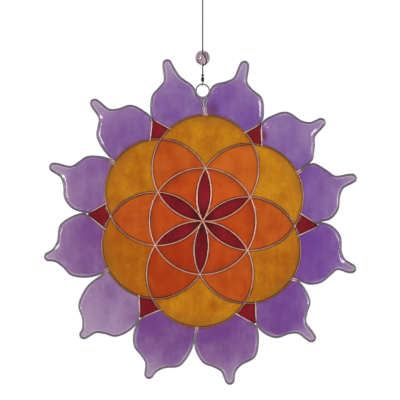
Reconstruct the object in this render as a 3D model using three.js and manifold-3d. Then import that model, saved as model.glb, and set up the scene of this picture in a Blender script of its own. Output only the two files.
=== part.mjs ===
// Stained glass suncatcher: coloured panes in a bent-wire flower, hung by a cord with a glass bead.
// Millimetres, +Z up, the panel in the XZ plane facing -Y, the origin inside the top of the cord's loop.
import * as THREE from 'three';
import { mergeVertices } from 'three/addons/utils/BufferGeometryUtils.js';
import Module from 'manifold-3d';

const wasm = await Module();
wasm.setup();

// Frame wire and panes
const WIRE = 0.7;              // radius of the frame's wire
const WIRE_SIDES = 5;
const PANE_DEPTH = 1;          // thickness of a pane
const CLEAR = 0.3;             // gap left between pieces that touch
const PANE_INSET = 1.15;       // from a wire's centre line to the edge of a pane
const LONGEST_ARC = 62;        // degrees of the longest stretch of an arc
const ARC_STEPS = 4;           // straight steps of each stretch of an arc
const SIDE_BY_SIDE = WIRE + CLEAR;   // half the spacing of two wires that run together

// Rosette of seven equal rings
const RING = 36.9;             // radius of each ring's centre line
const ROSETTE_DROP = 187;      // from the origin down to the middle of the rosette
const TOP_LOBE = 87;           // degrees, direction of the top lobe: the flower hangs a little turned
const RING_SEGMENTS = 24;
const LOBES = 6;
const LOBE_STEP = 360 / LOBES;

// Petals, two on each lobe
const FOOT_GAP = 1.3;          // from a ring's centre line to the end of a petal wire
// Degrees along the lobes from the notch to the petals' feet on the right and left of each kite
const KITE_FEET = [[15, 11.6], [15, 15], [15, 15], [15, 12], [11.2, 15], [10, 15]];
const KITE_TIP = 79.6;         // from the middle to where the wires beside a kite come together
const KITE_TIP_HALF = 1.4;     // half the spacing of the wires there, where they still turn
const MIN_TOGETHER = 2;        // shortest stretch of two petal wires running side by side
const KITE_STEPS = 5;          // straight steps of a kite's edge along a petal's wire
const ROUND_HALF = 2.1;        // half the width of a petal's nib at its round end
const ROUND_LENGTH = 1.1;      // from the tip down to there
const NIB_HALF = 3;            // half the width of the nib
const NIB_LENGTH = 4;          // from the tip down to the sides of the nib
const NECK_HALF = 4.5;         // half the width where the nib grows out of the petal
const NECK_RISE = 4;           // from the shoulder out to the neck
const SHOULDER_HALF = 9.1;     // half the width at the shoulder
const SIDE_SHARE = 0.97;       // half the width at the middle of the side as a share of that at the parting
const CHEEK_FALL = 4;          // from the shoulder in to the cheek, where the side turns inward
const CHEEK_SHARE = 0.8;       // half the width at the cheek as a share of that at the parting
const TOP_CHEEK_SHARE = 0.88;  // the same beside the hanging eye
// As bent by hand: lean of the tip off even spacing in degrees, how far out tip and shoulders lie, and
// sides and necks that are fuller or slimmer than usual
const PETALS = [
  { lean: 0.7, tip: 114.3, shoulders: [97.7, 96.5], necks: [6, NECK_HALF] },
  { lean: 0.5, tip: 113.3, shoulders: [96.7, 96.9] },
  { lean: -1.9, tip: 112.3, shoulders: [94.4, 98.8], sides: [SIDE_SHARE, 1] },
  { lean: 1, tip: 112, shoulders: [100.8, 101.1], sides: [SIDE_SHARE, 1.01] },
  { lean: 1.7, tip: 116.3, shoulders: [106.1, 102.7], sides: [1.05, SIDE_SHARE] },
  { lean: -1.3, tip: 115, shoulders: [101.6, 104] },
  { lean: -2.3, tip: 114.3, shoulders: [100.7, 102.5] },
  { lean: 1, tip: 113, shoulders: [97.7, 95.6] },
  { lean: 0.3, tip: 110.8, shoulders: [95, 97.7], sides: [1, 1], necks: [3.4, NECK_HALF] },
  { lean: 4, tip: 110.3, shoulders: [95.9, 92.6], sides: [1, SIDE_SHARE] },
  { lean: -2.2, tip: 109.3, shoulders: [92.8, 96.9] },
  { lean: 3, tip: 114.3, shoulders: [96.8, 97.3] },
];
// Where neighbouring petals part, all but the top two, which part round the hanging eye: lean off even
// spacing in degrees, and distance from the middle
const PARTINGS = [
  { lean: -0.7, reach: 79.6 },
  { lean: -1, reach: 77 },
  { lean: -1, reach: 83 },
  { lean: 0.7, reach: 79 },
  { lean: 0.3, reach: 86 },
  { lean: -1, reach: 85 },
  { lean: 0.3, reach: 83 },
  { lean: 1, reach: 79 },
  { lean: 2.5, reach: 82 },
  { lean: 1.3, reach: 84 },
  { lean: 2, reach: 79.6 },
];
const PETAL_STEP = 360 / PETALS.length;
const LONGEST_STEP = 7;        // of the straight steps of a petal's wire

// Hanging eye between the two top petals
const EYE_RISE = 90.3;         // from the middle of the rosette up to the middle of the eye
const EYE_RADIUS = 4.55;
const EYE_WIRE = 0.5;
const EYE_SEGMENTS = 18;
const LEG_HALF = 0.9;          // half the spacing of the eye's two legs where they leave it
const LEGS_MEET = 0.37;        // share of the way down to the rosette where the legs become one stem
const STEM_FOOT = 88.4;        // degrees, direction of the stem's foot on the top lobe
const STEM_WAIST = 0.55;       // share of the way down where the top petals have come close to the stem
const STEM_CLEAR = EYE_WIRE + CLEAR + WIRE;    // from the stem to the top petals' wires
const EYE_CLEAR = EYE_RADIUS + STEM_CLEAR;     // from the middle of the eye to these wires
const EYE_TOUCH = [-50, -22, 5];   // degrees from level of the places where these wires lie along the eye

// Cord and bead
const CORD = 0.45;             // radius of the cord
const CORD_SIDES = 8;
const BIGHT_SEGMENTS = 10;
const KNOT_RINGS = 5;
const LOOP_KNOT_DROP = 26;     // from the origin down to the knot of the loop
const LOOP_HALF = 4.4;         // half the width of the loop
const LOOP_STEPS = 16;
const LOOP_KNOT = 1.5;
const TIE_KNOTS = [{ rise: 6.4, radius: 0.85 }, { rise: 3, radius: 1.15 }];   // above the eye's top
const BEAD_DROP = 73.9;
const BEAD_RADIUS = 5;
const BEAD_HOLE = 0.8;
const BEAD_STEPS = 6;
const BEAD_SEGMENTS = 12;
const STRAND_TURN = 26;        // degrees from the front to the strand over the bead, to the right
const STRAND_END = 86;         // degrees above and below the bead's middle where the strand joins the cord
const STRAND_STEPS = 8;

// Colours
const COLOURS = {
  wire: 0x8f858a,
  eye: 0xa09aa0,
  seed: 0x7c1222,
  orange: 0xc5551a,
  yellow: 0xcf9212,
  kite: 0x8c1420,
  petal: 0x7d52a0,
  cord: 0x2c262a,
  bead: 0xc9a3bf,
};
const PANE_OPACITY = 0.8;

const radians = THREE.MathUtils.degToRad;
const polar = (angle, reach) =>
  new THREE.Vector2(reach * Math.cos(radians(angle)), reach * Math.sin(radians(angle)));
const lobeAngle = (k) => TOP_LOBE + LOBE_STEP * k;
const lobeCentre = (k) => polar(lobeAngle(k), RING);
const middle = new THREE.Vector2(0, 0);

const part = new THREE.Group();

function add(name, geometry, colour, opacity = 1) {
  const material = new THREE.MeshStandardMaterial({
    color: colour,
    roughness: 0.35,
    metalness: 0,
    opacity,
    transparent: opacity < 1,
  });
  const mesh = new THREE.Mesh(geometry, material);
  mesh.name = name;
  part.add(mesh);
}

// A closed solid of a geometry, for joining
function solid(geometry) {
  const plain = geometry.clone();
  plain.deleteAttribute('normal');
  plain.deleteAttribute('uv');
  const merged = mergeVertices(plain, 1e-4);
  return new wasm.Manifold(new wasm.Mesh({
    numProp: 3,
    vertProperties: new Float32Array(merged.attributes.position.array),
    triVerts: new Uint32Array(merged.index.array),
  }));
}

function joined(geometries) {
  const whole = geometries.map(solid).reduce((sum, next) => sum.add(next));
  const mesh = whole.getMesh();
  const geometry = new THREE.BufferGeometry();
  geometry.setAttribute('position', new THREE.BufferAttribute(mesh.vertProperties, 3));
  geometry.setIndex(new THREE.BufferAttribute(mesh.triVerts, 1));
  return geometry;
}

// A smooth curve with a stop at each of its points, and more stops between points that lie far apart
class BentWire extends THREE.CatmullRomCurve3 {
  constructor(points, longest = Infinity) {
    super(points, false, 'centripetal');
    this.stops = [0];
    for (let n = 1; n < points.length; n += 1) {
      const steps = Math.max(1, Math.round(points[n].distanceTo(points[n - 1]) / longest));
      for (let step = 1; step <= steps; step += 1) {
        this.stops.push((n - 1 + step / steps) / (points.length - 1));
      }
    }
    this.steps = this.stops.length - 1;
  }

  getUtoTmapping(u) {
    const place = u * this.steps;
    const low = Math.min(Math.floor(place), this.steps - 1);
    return THREE.MathUtils.lerp(this.stops[low], this.stops[low + 1], place - low);
  }
}

function tube(path, radius, sides, steps = path.steps) {
  const corners = Array.from({ length: sides }, (_, n) => polar(360 * n / sides, radius));
  return new THREE.ExtrudeGeometry(new THREE.Shape(corners), { steps, extrudePath: path });
}

// A point of the panel's plane, measured from the middle of the rosette, in the part's frame
const inPanel = (point) => new THREE.Vector3(point.x, 0, point.y - ROSETTE_DROP);

function ringAt(centre, radius, wire, sides, segments) {
  const ring = new THREE.TorusGeometry(radius, wire, sides, segments);
  ring.rotateX(Math.PI / 2);
  const place = inPanel(centre);
  ring.translate(place.x, place.y, place.z);
  return ring;
}

// Frame of the rosette
const rings = [ringAt(middle, RING, WIRE, WIRE_SIDES, RING_SEGMENTS)];
for (let k = 0; k < LOBES; k += 1) {
  rings.push(ringAt(lobeCentre(k), RING, WIRE, WIRE_SIDES, RING_SEGMENTS));
}
add('rosette_frame', joined(rings), COLOURS.wire);

// Panes: closed outlines of the panel's plane, made thick about that plane
function pane(name, outline, colour) {
  const geometry = new THREE.ExtrudeGeometry(outline, {
    depth: PANE_DEPTH,
    bevelEnabled: false,
    curveSegments: ARC_STEPS / 2,
  });
  geometry.translate(0, 0, -PANE_DEPTH / 2);
  geometry.rotateX(Math.PI / 2);
  geometry.translate(0, 0, -ROSETTE_DROP);
  add(name, geometry, colour, PANE_OPACITY);
}

// The crossing of two circles that lies nearer to a given point
function crossing(one, two, near) {
  const apart = two.centre.clone().sub(one.centre);
  const distance = apart.length();
  const along = (distance ** 2 + one.radius ** 2 - two.radius ** 2) / (2 * distance);
  const across = Math.sqrt(one.radius ** 2 - along ** 2);
  apart.normalize();
  const foot = one.centre.clone().addScaledVector(apart, along);
  const side = new THREE.Vector2(-apart.y, apart.x);
  const left = foot.clone().addScaledVector(side, across);
  const right = foot.clone().addScaledVector(side, -across);
  return left.distanceTo(near) < right.distanceTo(near) ? left : right;
}

// Edges of a pane that lies inside or outside a ring
const within = (centre) => ({ centre, radius: RING - PANE_INSET });
const beyond = (centre) => ({ centre, radius: RING + PANE_INSET });

const angleOn = (circle, point) => Math.atan2(point.y - circle.centre.y, point.x - circle.centre.x);

// The shorter arc of a circle from one point to another, in stretches of even steps
function arcTo(outline, circle, from, to) {
  const start = angleOn(circle, from);
  const turn = Math.atan2(Math.sin(angleOn(circle, to) - start), Math.cos(angleOn(circle, to) - start));
  const stretches = Math.ceil(Math.abs(turn) / radians(LONGEST_ARC));
  for (let n = 0; n < stretches; n += 1) {
    const begin = start + turn * n / stretches;
    const end = start + turn * (n + 1) / stretches;
    outline.absarc(circle.centre.x, circle.centre.y, circle.radius, begin, end, turn < 0);
  }
}

// An outline of arcs: each corner is the crossing of one edge with the next, near a point of the rosette
function arcOutline(edges, corners) {
  const points = edges.map((edge, n) => crossing(edge, edges[(n + 1) % edges.length], corners[n]));
  const outline = new THREE.Shape();
  edges.forEach((edge, n) => {
    const from = points[(n + edges.length - 1) % edges.length];
    arcTo(outline, edge, from, points[n]);
  });
  return outline;
}

const notch = (k) => lobeCentre(k).add(lobeCentre(k + 1));
for (let k = 0; k < LOBES; k += 1) {
  const here = lobeCentre(k);
  const next = lobeCentre(k + 1);
  const before = lobeCentre(k - 1);
  const afterNext = lobeCentre(k + 2);
  const number = k + 1;
  pane(`seed_petal_${number}`, arcOutline([within(next), within(before)], [middle, here]), COLOURS.seed);
  pane(
    `inner_orange_${number}`,
    arcOutline([beyond(before), within(middle), beyond(afterNext)], [here, next, notch(k)]),
    COLOURS.orange,
  );
  pane(
    `outer_orange_${number}`,
    arcOutline([beyond(middle), within(here), within(next)], [next, notch(k), here]),
    COLOURS.orange,
  );
  pane(
    `yellow_lobe_${number}`,
    arcOutline([beyond(before), beyond(next), within(here)], [here, notch(k), notch(k - 1)]),
    COLOURS.yellow,
  );
}

// Petals: the wire runs from its foot on the lobe out to where the petals part, round one shoulder,
// up to the tip, round the other shoulder and back to the lobe
const isTop = (j) => j % PETALS.length === 0;
const isKite = (j) => j % 2 === 1;
const partingAngle = (j) => TOP_LOBE + PETAL_STEP * j + PARTINGS[j - 1].lean;
const kiteAngle = (j) => TOP_LOBE + PETAL_STEP * j + PARTINGS[j - 1].lean / 2;

// A point at a distance from the middle and to one side of a direction
const beside = (angle, reach, offset) => polar(angle, reach).add(polar(angle + 90, offset));

// The stem of the hanging eye, and the eye itself
const eyeMiddle = new THREE.Vector2(0, EYE_RISE);
const stemTop = new THREE.Vector2(0, EYE_RISE - EYE_RADIUS);
const stemFoot = polar(STEM_FOOT, 2 * RING + FOOT_GAP);

// Foot and lower side of a petal wire, from the lobe out to where the petals part;
// side is +1 left of the parting, -1 right
function lowerSide(lobe, j, side) {
  if (isTop(j)) {
    const nearStem = (share) =>
      stemTop.clone().lerp(stemFoot, share).add(polar(STEM_FOOT + 90, side * STEM_CLEAR));
    const nearEye = (rise) => eyeMiddle.clone().add(polar(90 + side * (90 - rise), EYE_CLEAR));
    return [nearStem(1), nearStem(STEM_WAIST), ...EYE_TOUCH.map(nearEye)];
  }
  const { reach } = PARTINGS[j - 1];
  const start = beside(partingAngle(j), reach, side * SIDE_BY_SIDE);
  if (isKite(j)) {
    const [right, left] = KITE_FEET[(j - 1) / 2];
    const turn = LOBE_STEP - (side < 0 ? right : left);
    const foot = lobeCentre(lobe).add(polar(lobeAngle(lobe) - side * turn, RING + FOOT_GAP));
    const together = reach - KITE_TIP > MIN_TOGETHER;
    return together ? [foot, beside(kiteAngle(j), KITE_TIP, side * KITE_TIP_HALF), start] : [foot, start];
  }
  return [beside(lobeAngle(lobe), 2 * RING + FOOT_GAP, side * SIDE_BY_SIDE), start];
}

// Side, cheek, shoulder, neck and nib on one side of a petal, from the parting to the tip
function upperSide(petal, tipAngle, j, side, start) {
  const { sides = [SIDE_SHARE, SIDE_SHARE], necks = [NECK_HALF, NECK_HALF] } = petal;
  const own = side > 0 ? 0 : 1;
  const shoulder = petal.shoulders[own];
  const out = start.dot(polar(tipAngle, 1));
  const across = Math.abs(start.dot(polar(tipAngle + 90, 1)));
  const at = (reach, half) => beside(tipAngle, reach, -side * half);
  const cheek = shoulder - CHEEK_FALL;
  const upToCheek = isTop(j)
    ? [at(cheek, TOP_CHEEK_SHARE * across)]
    : [at((out + cheek) / 2, sides[own] * across), at(cheek, CHEEK_SHARE * across)];
  return [
    ...upToCheek,
    at(shoulder, SHOULDER_HALF),
    at(shoulder + NECK_RISE, necks[own]),
    at(petal.tip - NIB_LENGTH, NIB_HALF),
    at(petal.tip - ROUND_LENGTH, ROUND_HALF),
  ];
}

// The bent wire of a petal in the panel's plane
function petalWire(i) {
  const petal = PETALS[i];
  const tipAngle = TOP_LOBE + PETAL_STEP * (i + 0.5) + petal.lean;
  const half = (j, side) => {
    const lower = lowerSide(Math.floor((i + 1) / 2), j, side);
    return [...lower, ...upperSide(petal, tipAngle, j, side, lower[lower.length - 1])];
  };
  const points = [...half(i, 1), polar(tipAngle, petal.tip), ...half(i + 1, -1).reverse()];
  return new BentWire(points.map(inPanel), LONGEST_STEP);
}

// A point beside a wire, measured from the middle of the rosette: a positive distance lies to the left
// of the wire's run, inside the petal
function besideWire(wire, stop, distance) {
  const at = wire.getPoint(stop);
  const along = wire.getTangent(stop);
  return new THREE.Vector2(at.x - along.z * distance, at.z + ROSETTE_DROP + along.x * distance);
}

// The pane of a petal: inside the wire by the inset, and outside the lobe's ring
function petalOutline(i, wire) {
  const edge = beyond(lobeCentre(Math.floor((i + 1) / 2)));
  const points = wire.stops
    .map((stop) => besideWire(wire, stop, PANE_INSET))
    .filter((point) => point.distanceTo(edge.centre) > edge.radius);
  const outline = new THREE.Shape(points);
  const from = nearestOn(edge, points[points.length - 1]);
  outline.lineTo(from.x, from.y);
  arcTo(outline, edge, from, nearestOn(edge, points[0]));
  return outline;
}

// The point of a circle nearest to another point
function nearestOn(circle, point) {
  return point.clone().sub(circle.centre).setLength(circle.radius).add(circle.centre);
}

PETALS.forEach((petal, i) => {
  const wire = petalWire(i);
  add(`petal_wire_${i + 1}`, tube(wire, WIRE, WIRE_SIDES), COLOURS.wire);
  pane(`purple_petal_${i + 1}`, petalOutline(i, wire), COLOURS.petal);
});

// The edge of a kite along a petal's wire, from the foot to the wire's next point, up to the kite's axis
function kiteEdge(i, atStart, edge, axis) {
  const wire = petalWire(i % PETALS.length);
  const left = new THREE.Vector2(-axis.y, axis.x).multiplyScalar(atStart ? 1 : -1);
  const points = [];
  for (let n = 0; n <= KITE_STEPS; n += 1) {
    const stop = n / KITE_STEPS / (wire.points.length - 1);
    const point = besideWire(wire, atStart ? stop : 1 - stop, -PANE_INSET);
    if (point.dot(left) <= 0) {
      break;
    }
    if (point.distanceTo(edge.centre) > edge.radius) {
      points.push(point);
    }
  }
  return points;
}

// Red kites, between two lobes and the wires of two petals
for (let k = 0; k < LOBES; k += 1) {
  const one = beyond(lobeCentre(k));
  const two = beyond(lobeCentre(k + 1));
  const axis = polar(kiteAngle(2 * k + 1), 1);
  const right = kiteEdge(2 * k, false, one, axis);
  const left = kiteEdge(2 * k + 1, true, two, axis);
  const start = crossing(one, two, notch(k));
  const outline = new THREE.Shape([...right, ...left.reverse()]);
  const footLeft = nearestOn(two, left[left.length - 1]);
  outline.lineTo(footLeft.x, footLeft.y);
  arcTo(outline, two, footLeft, start);
  arcTo(outline, one, start, nearestOn(one, right[0]));
  pane(`red_kite_${k + 1}`, outline, COLOURS.kite);
}

// Hanging eye with its two legs, which become one stem
const eyeParts = [ringAt(eyeMiddle, EYE_RADIUS, EYE_WIRE, WIRE_SIDES, EYE_SEGMENTS)];
const legsMeet = stemTop.clone().lerp(stemFoot, LEGS_MEET);
[-LEG_HALF, LEG_HALF].forEach((side) => {
  const top = stemTop.clone().add(new THREE.Vector2(side, 0));
  eyeParts.push(tube(new BentWire([top, legsMeet].map(inPanel)), EYE_WIRE, WIRE_SIDES));
});
eyeParts.push(tube(new BentWire([legsMeet, stemFoot].map(inPanel)), EYE_WIRE, WIRE_SIDES));
add('hanging_eye', joined(eyeParts), COLOURS.eye);

// Bead, turned about its hole
const HOLE_EDGE = Math.acos(BEAD_HOLE / BEAD_RADIUS);
const beadProfile = [];
for (let n = 0; n <= BEAD_STEPS; n += 1) {
  const angle = HOLE_EDGE * (2 * n / BEAD_STEPS - 1);
  beadProfile.push(new THREE.Vector2(BEAD_RADIUS * Math.cos(angle), BEAD_RADIUS * Math.sin(angle)));
}
beadProfile.push(beadProfile[0].clone());
const bead = new THREE.LatheGeometry(beadProfile, BEAD_SEGMENTS);
bead.rotateX(Math.PI / 2);
bead.translate(0, 0, -BEAD_DROP);
add('bead', bead, COLOURS.bead, PANE_OPACITY);

// Cord: one length, with a bight round the eye, two tie knots, a strand over the bead and a loop on top
const eyeTop = EYE_RISE + EYE_RADIUS - ROSETTE_DROP;
const cordParts = [];

const bight = new THREE.TorusGeometry(EYE_WIRE + CLEAR + CORD, CORD, CORD_SIDES, BIGHT_SEGMENTS);
bight.rotateY(Math.PI / 2);
bight.translate(0, 0, eyeTop);
cordParts.push(bight);

function knot(height, radius) {
  const lump = new THREE.SphereGeometry(radius, CORD_SIDES, KNOT_RINGS);
  lump.rotateX(Math.PI / 2);
  lump.translate(0, 0, height);
  cordParts.push(lump);
}
TIE_KNOTS.forEach(({ rise, radius }) => knot(eyeTop + rise, radius));
knot(-LOOP_KNOT_DROP, LOOP_KNOT);

const lowEnd = eyeTop + EYE_WIRE + CLEAR + CORD;
const upright = [new THREE.Vector3(0, 0, lowEnd), new THREE.Vector3(0, 0, -LOOP_KNOT_DROP)];
cordParts.push(tube(new BentWire(upright), CORD, CORD_SIDES));

const strandReach = BEAD_RADIUS + CLEAR + CORD;
const strand = [];
for (let n = 0; n <= STRAND_STEPS; n += 1) {
  const height = radians(STRAND_END) * (1 - 2 * n / STRAND_STEPS);
  const out = strandReach * Math.cos(height);
  strand.push(new THREE.Vector3(
    out * Math.sin(radians(STRAND_TURN)),
    -out * Math.cos(radians(STRAND_TURN)),
    strandReach * Math.sin(height) - BEAD_DROP,
  ));
}
cordParts.push(tube(new BentWire(strand), CORD, CORD_SIDES));

// One half of the loop from the knot to the top, then the same half mirrored back down
const halfLoop = [
  [0.07, -LOOP_KNOT_DROP],
  [0.7, -0.55 * LOOP_KNOT_DROP],
  [1, -LOOP_HALF],
  [0.7, CORD - 0.3 * LOOP_HALF],
];
const loopSide = (side) =>
  halfLoop.map(([out, height]) => new THREE.Vector3(side * out * LOOP_HALF, 0, height));
const loop = [...loopSide(-1), new THREE.Vector3(0, 0, CORD), ...loopSide(1).reverse()];
cordParts.push(tube(new BentWire(loop), CORD, CORD_SIDES, LOOP_STEPS));
add('hanging_cord', joined(cordParts), COLOURS.cord);

export default part;
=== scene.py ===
# Looks of the stained glass suncatcher: domed coloured panes in a bent-wire flower, on a cord with a bead.
# Sizes are millimetres of the part's own frame, and become metres when a vertex is made.
import math
from collections import namedtuple

import bmesh
import bpy
from mathutils import Matrix, Vector, noise


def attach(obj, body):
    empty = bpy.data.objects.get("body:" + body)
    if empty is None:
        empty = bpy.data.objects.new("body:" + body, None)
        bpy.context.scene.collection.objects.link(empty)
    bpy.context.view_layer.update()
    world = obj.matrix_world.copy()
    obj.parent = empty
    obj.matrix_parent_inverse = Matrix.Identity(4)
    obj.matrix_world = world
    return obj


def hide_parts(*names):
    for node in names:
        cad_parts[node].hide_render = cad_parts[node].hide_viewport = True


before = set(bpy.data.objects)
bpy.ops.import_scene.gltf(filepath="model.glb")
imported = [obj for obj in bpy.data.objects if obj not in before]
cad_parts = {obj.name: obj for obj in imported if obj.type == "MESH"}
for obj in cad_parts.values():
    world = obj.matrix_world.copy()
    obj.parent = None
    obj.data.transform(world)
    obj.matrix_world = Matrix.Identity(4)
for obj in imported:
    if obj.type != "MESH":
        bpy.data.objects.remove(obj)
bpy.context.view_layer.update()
scene = bpy.context.scene
MM = 0.001

# Camera, straight in front, framed as the photograph is
PICTURE = 400
PIXEL = 0.6925  # millimetres of the flower shown by one pixel
VIEW_MIDDLE = (-1.85, -172.35)  # what the middle of the picture shows, across and up
CAMERA_AWAY = 1200
SENSOR = 36
camera = bpy.data.cameras.new("camera")
camera.sensor_width = SENSOR
camera.lens = SENSOR * CAMERA_AWAY / (PICTURE * PIXEL)
camera_stand = bpy.data.objects.new("camera", camera)
camera_stand.location = Vector((VIEW_MIDDLE[0], -CAMERA_AWAY, VIEW_MIDDLE[1])) * MM
camera_stand.rotation_euler = (math.radians(90), 0, 0)
scene.collection.objects.link(camera_stand)
scene.camera = camera_stand

# Rosette of seven equal rings
RING = 36.9  # radius of each ring
WIRE = 0.7  # radius of the frame's wire
ROSETTE_DROP = 187  # from the hanging point down to the middle of the rosette
TOP_LOBE = 87  # degrees, direction of the top lobe
LOBES = 6
LOBE_STEP = 360 / LOBES
MIDDLE_LEVEL = -0.15  # how far behind the panel's plane the middle ring lies
LOBE_LEVELS = (-0.4, 0.05, 0.2, -0.1, 0.25, 0.1)  # and each lobe's ring, where they stack

# Petals, two on each lobe, as bent by hand; widths are measured from a petal's own middle line
FOOT_PAST = -0.7  # how far past the ring's centre line petal wires end, so inside it
FOOT_LIFT = 0.7  # how far they are lifted to lie on the ring
FOOT_RUN = 4.0  # over this length
SIDE_BY_SIDE = 0.75  # half the spacing of two petal wires that run together
KITE_FEET = ((15, 11.6), (15, 15), (15, 15), (15, 12), (11.2, 15), (10, 15))  # degrees from notch to feet
KITE_TIP = 79.6  # from the middle of the rosette
KITE_TIP_HALF = 1.2  # half the width of a kite at its tip
MIN_TOGETHER = 2  # least run of two wires side by side beyond a kite's tip
ROUND_HALF = 2.1  # half width of the round end of the nib
ROUND_LENGTH = 1.1  # and its place below the tip
NIB_HALF = 3  # half width at the foot of the nib
NIB_LENGTH = 4
NECK_HALF = 4.5
NECK_RISE = 4  # of the neck above the shoulder
SHOULDER_HALF = 9.1
SIDE_SHARE = 0.97  # of the width at the parting, halfway up a side
CHEEK_FALL = 4  # of the cheek below the shoulder
CHEEK_SHARE = 0.8  # of that width, at the cheek
TOP_CHEEK_SHARE = 0.88  # and beside the hanging eye
USUAL = ((SIDE_SHARE, SIDE_SHARE), (NECK_HALF, NECK_HALF))  # sides and necks
Petal = namedtuple("Petal", "lean tip shoulders pale high sides necks", defaults=USUAL)
PETALS = (
    # lean of the tip in degrees, reach of the tip and of both shoulders, paleness of the pane and how high
    # it was poured; then sides and necks that are fuller or slimmer than usual
    Petal(0.7, 114.3, (97.7, 96.5), 0.72, 0.5, necks=(6, NECK_HALF)),
    Petal(0.5, 113.3, (96.7, 96.9), 0.60, 1.2),
    Petal(-1.9, 112.3, (94.4, 98.8), 0.64, 1.35, sides=(SIDE_SHARE, 1)),
    Petal(1.0, 112.0, (100.8, 101.1), 0.46, 1.3, sides=(SIDE_SHARE, 1.01)),
    Petal(1.7, 116.3, (106.1, 102.7), 0.95, 0.5, sides=(1.05, SIDE_SHARE)),
    Petal(-1.3, 115.0, (101.6, 104.0), 0.20, 0.55),
    Petal(-2.3, 114.3, (100.7, 102.5), 0.26, 0.55),
    Petal(1.0, 113.0, (97.7, 95.6), 0.26, 0.6),
    Petal(0.3, 110.8, (95.0, 97.7), 0.22, 1.35, sides=(1, 1), necks=(3.4, NECK_HALF)),
    Petal(4.0, 110.3, (95.9, 92.6), 0.55, 0.55, sides=(1, SIDE_SHARE)),
    Petal(-2.2, 109.3, (92.8, 96.9), 0.74, 1.35),
    Petal(3.0, 114.3, (96.8, 97.3), 0.48, 1.35),
)
PARTINGS = (
    # lean in degrees and distance from the middle of the place where two petals part, from the top left
    (-0.7, 79.6), (-1, 77), (-1, 83), (0.7, 79), (0.3, 86),
    (-1, 85), (0.3, 83), (1, 79), (2.5, 82), (1.3, 84), (2, 79.6),
)
PETAL_STEP = 30

# Hanging eye, cord and bead
EYE_RISE = 90.3  # from the middle of the rosette to the middle of the eye
EYE_RADIUS = 4.55
EYE_WIRE = 0.5
EYE_TOP = EYE_RISE + EYE_RADIUS - ROSETTE_DROP
LEG_HALF = 0.9  # half the spacing of the eye's legs at their tops
LEGS_MEET = 0.4  # share of the way down where they come together
LEGS_TOUCH = 0.15  # half their spacing there
STEM_FOOT = 88.4  # degrees, direction of the stem's foot on the top lobe
STEM_WAIST = 0.55  # share of the stem, from its top, where the top petals' wires leave it
STEM_CLEAR = 1.1  # from the middle of the stem to those wires
EYE_CLEAR = EYE_RADIUS + STEM_CLEAR
EYE_TOUCH = (-50, -22, 5)  # degrees above level of the places where they pass the eye
CORD = 0.45  # radius of the cord
LOOP_KNOT_DROP = 26  # from the hanging point
LOOP_HALF = 4.4  # half the width of the loop
BEAD_DROP = 73.9  # from the hanging point
BEAD_RADIUS = 5
BEAD_HOLE = 0.8
STRAND_TURN = 20  # degrees round the bead, from its front to the strand's middle
STRAND_SWING = 28  # and its swing to both sides of that


def polar(angle, reach):
    """A point of the panel, by its direction in degrees and its distance from the middle of the rosette."""
    turn = math.radians(angle)
    return Vector((reach * math.cos(turn), reach * math.sin(turn)))


def beside(angle, reach, offset):
    return polar(angle, reach) + polar(angle + 90, offset)


def in_part(point, depth=0.0):
    """A point of the panel in the part's frame, in metres; depth is towards the back."""
    return Vector((point[0], depth, point[1] - ROSETTE_DROP)) * MM


def lobe_angle(k):
    return TOP_LOBE + LOBE_STEP * k


def lobe_centre(k):
    return polar(lobe_angle(k), RING)


def notch(k):
    return lobe_centre(k) + lobe_centre(k + 1)


def bent(points, steps):
    """A smooth run through points, with so many steps between each two of them."""
    run = []
    for n in range(len(points) - 1):
        start, end = points[n], points[n + 1]
        before = points[n - 1] if n else start * 2 - end
        after = points[n + 2] if n + 2 < len(points) else end * 2 - start
        first, own, last = (
            math.sqrt((b - a).length) for a, b in ((before, start), (start, end), (end, after))
        )
        leave = ((start - before) / first - (end - before) / (first + own) + (end - start) / own) * own
        arrive = ((end - start) / own - (after - start) / (own + last) + (after - end) / last) * own
        bend = (end - start) * 3 - leave * 2 - arrive
        turn = (start - end) * 2 + leave + arrive
        for step in range(steps):
            u = step / steps
            run.append(start + leave * u + bend * u ** 2 + turn * u ** 3)
    run.append(points[-1].copy())
    return run


# Mesh making
DOUBLES_WITHIN = 1e-7  # metres
END_SIZE = 0.55  # of a wire's or cord's rounded end
END_LENGTH = 0.35  # of its rounding, in radii
PLY_DEPTH = 0.09  # of the grooves between a cord's plies


def new_object(name, bm, material):
    mesh = bpy.data.meshes.new(name)
    bm.to_mesh(mesh)
    bm.free()
    mesh.materials.append(material)
    made = bpy.data.objects.new(name, mesh)
    scene.collection.objects.link(made)
    return made


def finish_mesh(name, bm, material, slot, *nodes):
    """Closes a bmesh into a piece of the part with outward faces, standing for any CAD nodes named."""
    bmesh.ops.remove_doubles(bm, verts=bm.verts, dist=DOUBLES_WITHIN)
    bmesh.ops.recalc_face_normals(bm, faces=bm.faces)
    for face in bm.faces:
        face.smooth = True
    piece = new_object(name, bm, material)
    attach(piece, "root")
    if nodes:
        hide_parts(*nodes)
    return piece


def new_parts(grown, kind):
    return [item for item in grown["geom"] if isinstance(item, kind)]


def edges_of(verts):
    return list(dict.fromkeys(edge for vert in verts for edge in vert.link_edges))


def closed_line(bm, points):
    """Vertices at points in metres, and the edges that join each to the next and the last to the first."""
    verts = [bm.verts.new(point) for point in points]
    edges = [bm.edges.new((verts[n - 1], verts[n])) for n in range(len(verts))]
    return verts, edges


def heading(points, n):
    """The direction of a run at one of its points."""
    return (points[min(n + 1, len(points) - 1)] - points[max(n - 1, 0)]).normalized()


def frames_along(points):
    """A turning frame at each point of a run, carried along without twist."""
    frames = []
    side = None
    for n, point in enumerate(points):
        ahead = heading(points, n)
        side = ahead.orthogonal() if side is None else side - ahead * side.dot(ahead)
        side.normalize()
        turn = Matrix((side, ahead.cross(side), ahead)).transposed().to_4x4()
        frames.append(Matrix.Translation(point) @ turn)
    return frames


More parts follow.
